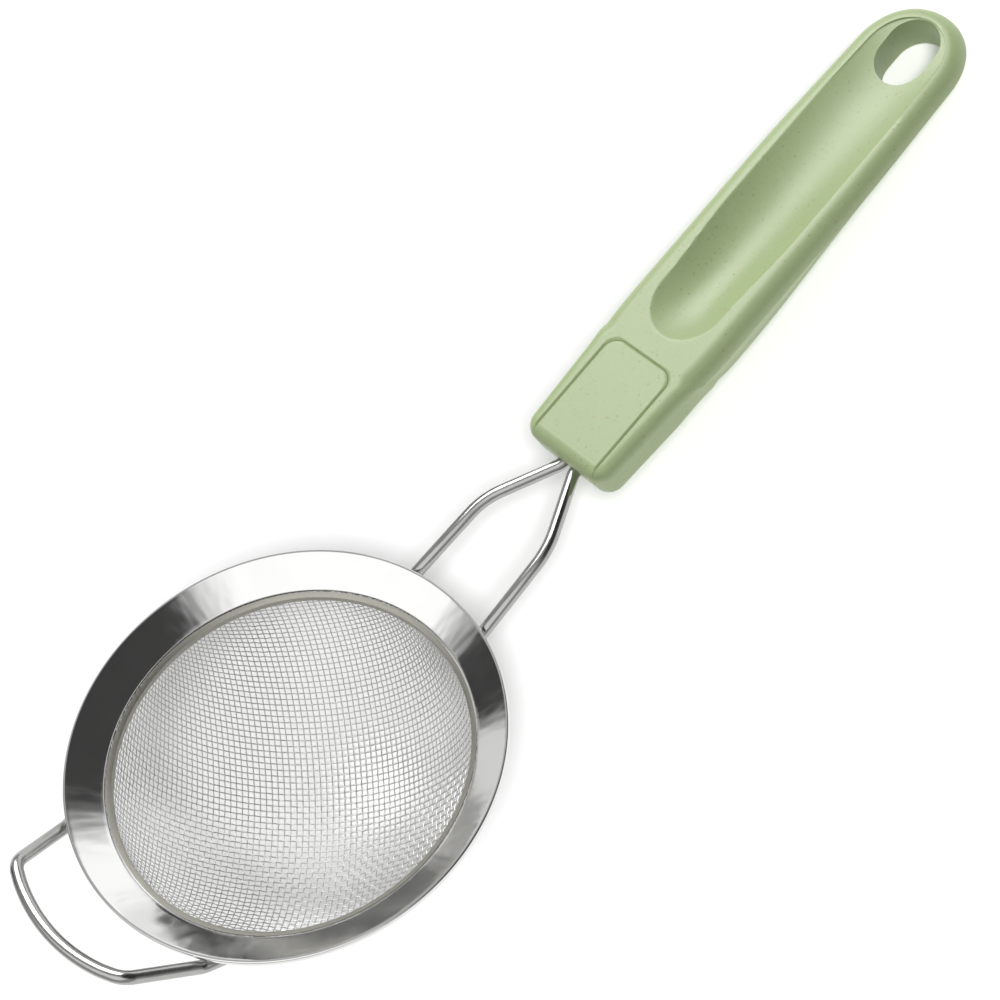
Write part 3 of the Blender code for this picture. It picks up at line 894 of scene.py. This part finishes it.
def satin_steel():
    """Dull warm steel with a fine grain and spinning lines."""
    made, tree, shader = new_material("satin_steel_look")
    shader.inputs["Metallic"].default_value = 1.0
    lines = noise(tree, round_coordinates(tree, 6, 5000), 3.0)
    grain = noise(tree, stretched(tree, (2500, 2500, 2500)), 2.0)
    tint(tree, shader, lines, (0.34, 0.33, 0.29), (0.46, 0.45, 0.40))
    rough = remap(tree, grain, 0.3, 0.7, 0.34, 0.5)
    tree.links.new(rough, shader.inputs["Roughness"])
    bump(tree, shader, [(grain, 0.2, 0.00003), (lines, 0.2, 0.00003)])
    return made


def bright_wire(name, low, high, rough_low, rough_high):
    """Drawn wire with faint marks and smudges, between two colours and two roughnesses."""
    made, tree, shader = new_material(name)
    shader.inputs["Metallic"].default_value = 1.0
    marks = noise(tree, stretched(tree, (180, 2400, 2400)), 3.0)
    smudge = noise(tree, stretched(tree, (260, 260, 260)), 3.0)
    tint(tree, shader, smudge, low, high)
    rough = remap(tree, marks, 0.3, 0.7, rough_low, rough_high)
    tree.links.new(rough, shader.inputs["Roughness"])
    bump(tree, shader, [(marks, 0.12, 0.00003), (smudge, 0.2, 0.0001)])
    return made


def specks(tree, cells, size, share):
    """1 on small round specks in a share of the cells of a 3-D pattern, 0 between them."""
    pattern = node(tree, "ShaderNodeTexVoronoi", Scale=cells)
    tree.links.new(frame_coordinates(tree, HANDLE), pattern.inputs["Vector"])
    spot = remap(tree, pattern.outputs["Distance"], size, size * 1.6, 1.0, 0.0)
    split = node(tree, "ShaderNodeSeparateColor")
    tree.links.new(pattern.outputs["Color"], split.inputs[0])
    chosen = worked(tree, "LESS_THAN", split.outputs[0], share)
    return worked(tree, "MULTIPLY", spot, chosen)


def speckled_plastic():
    """Green plastic with a drifting colour, a fine mottle and three sizes of darker specks."""
    made, tree, shader = new_material("speckled_plastic_look")
    shader.inputs["Specular IOR Level"].default_value = 0.9
    shader.inputs["Subsurface Weight"].default_value = 0.1
    shader.inputs["Subsurface Radius"].default_value = (0.9, 1.0, 0.5)
    shader.inputs["Subsurface Scale"].default_value = 0.0012
    cloud = noise(tree, stretched(tree, (60, 60, 60), HANDLE), 3.0)
    previous = tint(tree, shader, cloud, PLASTIC_LOW, PLASTIC_HIGH)
    mottle = noise(tree, stretched(tree, (900, 900, 900), HANDLE), 2.0)
    for share, colour in (
        (remap(tree, mottle, 0.52, 0.70, 0.0, 0.3), (0.325, 0.35, 0.165, 1)),
        (specks(tree, 900, 0.20, 0.30), (0.31, 0.355, 0.165, 1)),
        (specks(tree, 620, 0.14, 0.25), (0.29, 0.30, 0.145, 1)),
        (specks(tree, 300, 0.055, 0.16), (0.235, 0.235, 0.115, 1)),
    ):
        mix = node(tree, "ShaderNodeMix", data_type="RGBA")
        mix.inputs[7].default_value = colour
        tree.links.new(share, mix.inputs[0])
        tree.links.new(previous, mix.inputs[6])
        previous = mix.outputs[2]
    tree.links.new(previous, shader.inputs["Base Color"])
    grain = noise(tree, stretched(tree, (2600, 2600, 2600), HANDLE), 2.0)
    rough = remap(tree, grain, 0.3, 0.7, 0.38, 0.48)
    tree.links.new(rough, shader.inputs["Roughness"])
    soft = noise(tree, stretched(tree, (120, 120, 120), HANDLE), 2.0)
    bump(tree, shader, [(grain, 0.15, 0.00005), (soft, 0.1, 0.0002)])
    return made


def floor_material():
    """Matt white paper that glows a little, so that shadows on it stay pale."""
    made, tree, shader = new_material("floor_look")
    shader.inputs["Roughness"].default_value = 0.9
    shader.inputs["Specular IOR Level"].default_value = 0.1
    shader.inputs["Emission Color"].default_value = (1, 1, 1, 1)
    shader.inputs["Emission Strength"].default_value = FLOOR_GLOW
    grain = noise(tree, stretched(tree, (300, 300, 300)), 2.0)
    tint(tree, shader, grain, (0.87, 0.87, 0.87), (0.89, 0.89, 0.89))
    return made


def dark_card():
    """Matt, nearly black card."""
    made, tree, shader = new_material("dark_card_look")
    shader.inputs["Roughness"].default_value = 0.9
    grain = noise(tree, stretched(tree, (400, 400, 400)), 2.0)
    tint(tree, shader, grain, (0.03, 0.03, 0.03), (0.05, 0.05, 0.05))
    return made


# Pieces ---------------------------------------------------------------------------------------------


def make_rim(look):
    """The band with its hem at the outer edge, folded down into a skirt at the inner edge."""
    slope = math.atan2(BAND_TOP[1] - BAND_FOOT[1], BAND_TOP[0] - BAND_FOOT[0])
    under = (SHEET * math.sin(slope), -SHEET * math.cos(slope))
    hem_r = BEAD_CENTRE + BEAD_RADIUS - HEM_RADIUS
    edge_r = hem_r - HEM_RADIUS * math.sin(slope)
    edge_z = BAND_FOOT[1] + (edge_r - BAND_FOOT[0]) * math.tan(slope)
    hem_z = edge_z - HEM_RADIUS * math.cos(slope)
    hem = arc((hem_r, hem_z - HEM_HEIGHT), HEM_RADIUS, -125, -4, 16)
    hem += arc((hem_r, hem_z), HEM_RADIUS, 4, 90 + math.degrees(slope), 18)
    band = [
        (edge_r + (BAND_FOOT[0] - edge_r) * t, edge_z + (BAND_FOOT[1] - edge_z) * t)
        for t in np.linspace(0, 0.96, 14)[1:]
    ]
    fold = arc((BAND_FOOT[0] + FOLD_RADIUS, BAND_FOOT[1] - FOLD_DROP), FOLD_RADIUS, 124, 180, 6)
    skirt = [(BAND_FOOT[0], SKIRT_FOOT), (BAND_FOOT[0] + SHEET, SKIRT_FOOT)]
    back = [
        (BAND_FOOT[0] + SHEET, BAND_FOOT[1] - SHEET),
        (BAND_TOP[0] + under[0], BAND_TOP[1] + under[1]),
    ]
    made = turned("rim_flange_polished", hem + band + fold + skirt + back)
    return finish_piece(made, look, ["rim_flange"])


def make_clamp(look):
    """A narrow flange under the band, rolled over a small lip into a short sleeve inside the mesh."""
    inner_r, inner_z = CLAMP_INNER
    outer_r, outer_z = CLAMP_OUTER
    profile = [CLAMP_OUTER]
    profile += arc((inner_r + LIP_RADIUS, inner_z - LIP_DROP), LIP_RADIUS, 130, 180, 6)
    profile += [(inner_r, CLAMP_FOOT), (inner_r + CLAMP_SHEET, CLAMP_FOOT)]
    profile += [(inner_r + CLAMP_SHEET, inner_z - CLAMP_BACK_DROPS[0])]
    profile += [(outer_r, outer_z - CLAMP_BACK_DROPS[1])]
    made = turned("mesh_clamp_ring_satin", profile)
    finish_piece(made, look, ["mesh_clamp_ring"])


def make_bowl(look):
    """The woven bowl, in two pieces: the wires of one way, and the wires of the other."""
    net = whole_net(NET_HALF)
    first = woven_piece("mesh_bowl_warp", net, True)
    second = woven_piece("mesh_bowl_weft", net, False)
    finish_piece(first, look, ["mesh_bowl"])
    finish_piece(second, look, ["mesh_bowl"])


def make_wires(look):
    """The handle wire's two legs, mirror images of each other, and the rest."""
    leg = handle_wire_leg()
    other = [p * np.array([1, -1, 1]) for p in leg]
    left = wire("handle_wire_left", leg, WIRE_RADIUS)
    right = wire("handle_wire_right", other, WIRE_RADIUS)
    finish_piece(left, look, ["handle_wire"])
    finish_piece(right, look, ["handle_wire"])
    rest = wire("rest_loop_wire", rest_path(), WIRE_RADIUS)
    finish_piece(rest, look, ["rest_loop"])


def socket_block(name, floor, seam, groove):
    """The neck insert's shape: straight sides, and a slanted edge at the top for the groove round it."""
    length = INSERT_LENGTH + seam
    half = INSERT_HALF + seam
    layers = [
        (floor, socket_outline(length, half, groove)),
        (-GROOVE_DEPTH, socket_outline(length, half, groove)),
        (0.0, socket_outline(length + groove, half + groove, groove)),
        (CUTTER_TOP, socket_outline(length + groove, half + groove, groove)),
    ]
    return stacked(name, layers)


def make_handle(look):
    """Body and insert, cut from one blank: the socket a little wider, the insert a little smaller."""
    vertices, faces = handle_blank()
    body = mesh_object("handle_body_speckled", vertices, faces)
    insert = mesh_object("neck_insert_speckled", vertices, faces)
    recess = socket_block("recess_cutter", -INSERT_DEPTH - GAP, SEAM, GROOVE_WIDTH)
    apply_cut(body, recess, "DIFFERENCE")
    apply_cut(body, hole_cutter(), "DIFFERENCE")
    apply_cut(insert, socket_block("insert_cutter", -INSERT_DEPTH, -SEAM, -GROOVE_WIDTH), "INTERSECT")
    for made in (body, insert):
        made.data.shade_smooth()
        made.data.set_sharp_from_angle(angle=math.radians(32))
    finish_piece(body, look, ["handle_body"], HANDLE)
    finish_piece(insert, look, ["neck_insert"], HANDLE)


# Stage ----------------------------------------------------------------------------------------------


def make_floor(look):
    """A square of floor, in a grid of faces."""
    steps = 12
    places = [FLOOR_HALF * (2 * i / steps - 1) for i in range(steps + 1)]
    vertices = [(x, y, 0.0) for x in places for y in places]
    faces = []
    for i in range(steps):
        for j in range(steps):
            a = i * (steps + 1) + j
            faces.append((a, a + steps + 1, a + steps + 2, a + 1))
    floor = mesh_object("floor", vertices, faces)
    floor.data.materials.append(look)
    return floor


def make_flag(look):
    """The dark card: a narrow upright plate that the camera doesn't see and that throws no shadow."""
    (x0, y0, high0), (x1, y1, high1) = FLAG_ENDS
    vertices = []
    for back in (0, FLAG_THICK):
        vertices += [(x0, y0 + back, 0), (x1, y1 + back, 0)]
        vertices += [(x1, y1 + back, high1), (x0, y0 + back, high0)]
    faces = [(0, 1, 2, 3), (4, 7, 6, 5), (0, 4, 5, 1), (1, 5, 6, 2), (2, 6, 7, 3), (3, 7, 4, 0)]
    flag = mesh_object("dark_card", vertices, faces)
    flag.data.materials.append(look)
    flag.visible_camera = False
    flag.visible_shadow = False
    flag.visible_diffuse = False


def area_light(name, bearing, elevation, distance, width, height, power):
    """A softbox aimed at the origin."""
    data = bpy.data.lights.new(name, "AREA")
    data.shape = "RECTANGLE"
    data.size = width
    data.size_y = height
    data.energy = power
    return placed_light(name, data, bearing, elevation, distance)


def far_light(name, bearing, elevation, strength, spread):
    """A light so far off that it is even over the floor, with soft shadows."""
    data = bpy.data.lights.new(name, "SUN")
    data.energy = strength
    data.angle = math.radians(spread)
    return placed_light(name, data, bearing, elevation, 1.0)


def placed_light(name, data, bearing, elevation, distance):
    """A lamp at a bearing and elevation from the origin, aimed back at it."""
    a = math.radians(bearing)
    e = math.radians(elevation)
    place = Vector((math.cos(a) * math.cos(e), math.sin(a) * math.cos(e), math.sin(e))) * distance
    made = bpy.data.objects.new(name, data)
    bpy.context.scene.collection.objects.link(made)
    made.location = place
    made.rotation_euler = (-place).to_track_quat("-Z", "Y").to_euler()
    return made


def choose_lit(light, pieces, state):
    """Keeps a light off some pieces, or lets it light only them."""
    group = bpy.data.collections.new(f"{light.name}_{state.lower()}")
    for piece in pieces:
        group.objects.link(piece)
    light.light_linking.receiver_collection = group
    for entry in group.collection_objects:
        entry.light_linking.link_state = state


def studio_patch(tree, azimuth, half_across, soft_side, low, high, soft_end):
    """1 inside a patch of the studio's surroundings, given by bearing and elevation in degrees."""
    place = node(tree, "ShaderNodeTexCoord")
    swung = node(tree, "ShaderNodeVectorRotate", rotation_type="Z_AXIS")
    swung.inputs["Angle"].default_value = math.radians(-azimuth)
    tree.links.new(place.outputs["Generated"], swung.inputs["Vector"])
    split = node(tree, "ShaderNodeSeparateXYZ")
    tree.links.new(swung.outputs["Vector"], split.inputs[0])
    x, y, z = split.outputs
    half = math.radians(half_across)
    side = math.radians(soft_side)
    low_edge = math.radians(low)
    high_edge = math.radians(high)
    end = math.radians(soft_end)
    width = worked(tree, "ABSOLUTE", worked(tree, "ARCTAN2", y, x))
    lift = worked(tree, "ARCSINE", z)
    beside = remap(tree, width, half - side, half + side, 1.0, 0.0)
    above = remap(tree, lift, low_edge - end, low_edge + end, 0.0, 1.0)
    below = remap(tree, lift, high_edge - end, high_edge + end, 1.0, 0.0)
    return worked(tree, "MULTIPLY", worked(tree, "MULTIPLY", beside, above), below)


def make_lights(rim, floor):
    """The studio's surroundings and its lights.

    Only reflections see the patches: the camera sees white, and diffuse light is an even fill. The floor
    has a light of its own, and the polished rim doesn't mirror the key light.
    """
    world = bpy.data.worlds.new("studio")
    bpy.context.scene.world = world
    world.use_nodes = True
    tree = world.node_tree
    background = tree.nodes["Background"]
    background.inputs["Color"].default_value = (1, 1, 1, 1)
    level = node(tree, "ShaderNodeValue")
    level.outputs[0].default_value = STUDIO_LEVEL
    previous = level.outputs[0]
    for *extent, brightness in STUDIO_PATCHES:
        share = studio_patch(tree, *extent)
        mix = node(tree, "ShaderNodeMix", data_type="FLOAT")
        tree.links.new(share, mix.inputs[0])
        tree.links.new(previous, mix.inputs[2])
        mix.inputs[3].default_value = brightness
        previous = mix.outputs[0]
    path = node(tree, "ShaderNodeLightPath")
    for ray, brightness in (("Is Diffuse Ray", STUDIO_FILL), ("Is Camera Ray", 1.0)):
        mix = node(tree, "ShaderNodeMix", data_type="FLOAT")
        tree.links.new(path.outputs[ray], mix.inputs[0])
        tree.links.new(previous, mix.inputs[2])
        mix.inputs[3].default_value = brightness
        previous = mix.outputs[0]
    tree.links.new(previous, background.inputs["Strength"])
    for *setting, shiny in STUDIO_LIGHTS:
        made = area_light(*setting)
        made.visible_glossy = shiny
        choose_lit(made, (floor, rim) if shiny else (floor,), "EXCLUDE")
    made = far_light("floor_light", *FLOOR_LIGHT)
    made.visible_glossy = False
    choose_lit(made, (floor,), "INCLUDE")


def make_camera():
    """The camera, placed in the strainer's frame."""
    data = bpy.data.cameras.new("camera")
    data.lens = CAMERA_LENS
    data.sensor_width = 36
    data.clip_start = 0.01
    data.clip_end = 20
    made = bpy.data.objects.new("camera", data)
    bpy.context.scene.collection.objects.link(made)
    back = -Vector(CAMERA_ALONG).normalized()
    up = Vector(CAMERA_UP)
    right = up.cross(back).normalized()
    up = back.cross(right)
    turn = Matrix((right, up, back)).transposed().to_4x4()
    made.matrix_world = STRAINER @ Matrix.Translation(CAMERA_PLACE) @ turn
    bpy.context.scene.camera = made


make_camera()
rim = make_rim(polished_steel())
make_clamp(satin_steel())
make_bowl(bright_wire("woven_wire_look", (0.54, 0.54, 0.53), (0.68, 0.68, 0.67), 0.28, 0.42))
make_wires(bright_wire("bright_wire_look", (0.36, 0.36, 0.35), (0.46, 0.46, 0.45), 0.12, 0.22))
make_handle(speckled_plastic())
floor = make_floor(floor_material())
make_flag(dark_card())
make_lights(rim, floor)
bpy.context.scene.view_settings.view_transform = "Standard"
